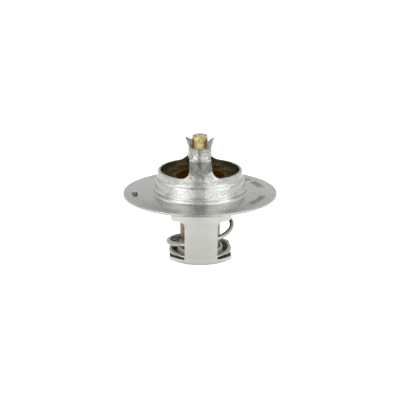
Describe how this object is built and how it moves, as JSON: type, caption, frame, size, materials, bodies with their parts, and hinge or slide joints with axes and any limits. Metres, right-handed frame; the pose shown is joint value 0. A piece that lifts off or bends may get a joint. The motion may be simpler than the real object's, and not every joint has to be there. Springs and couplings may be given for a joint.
{
  "type": "engine thermostat",
  "caption": "Round-flanged wax-element coolant thermostat with a stepped throat, piston bridge, sprung poppet valve and lower frame.",
  "frame": {"origin": "middle of the lower frame's base, on the axis, in the plane that it stands on", "axes": "+Z along the axis from the wax element to the bridge, -Y towards the bridge's front leg, +X to the right of it"},
  "size_m": [0.054, 0.054, 0.0439],
  "materials": {
    "pressed_steel": "satin pressed stainless steel",
    "frame_steel": "matte pressed stainless steel",
    "pin_steel": "ground",
    "spring_steel": "drawn wire",
    "brass": "turned brass",
    "rubber": "moulded",
    "washer_plastic": "turned",
    "wax": "pressed wax with copper powder"
  },
  "bodies": {
    "housing": {"flange_bridge": "pressed_steel", "lower_frame": "frame_steel", "adjusting_nut": "brass", "piston_pin": "pin_steel", "main_spring": "spring_steel"},
    "valve": {"valve_plate": "pressed_steel", "clamp_ring": "pressed_steel", "element_guide": "brass", "piston_seal": "rubber", "backup_washer": "washer_plastic", "rubber_boot": "rubber", "wax_charge": "wax", "wax_cup": "brass"},
    "jiggle": {"jiggle_pin": "pin_steel"}
  },
  "joints": [
    {"name": "valve_lift", "type": "slide", "parent": "housing", "child": "valve", "axis": [0, 0, -1], "range_m": [0, 0.008], "stiffness_N_per_m": 4000, "springref_m": -0.01, "deforming": ["main_spring"]},
    {"name": "jiggle_lift", "type": "slide", "parent": "housing", "child": "jiggle", "axis": [0, 0, 1], "range_m": [0, 0.0012]}
  ]
}
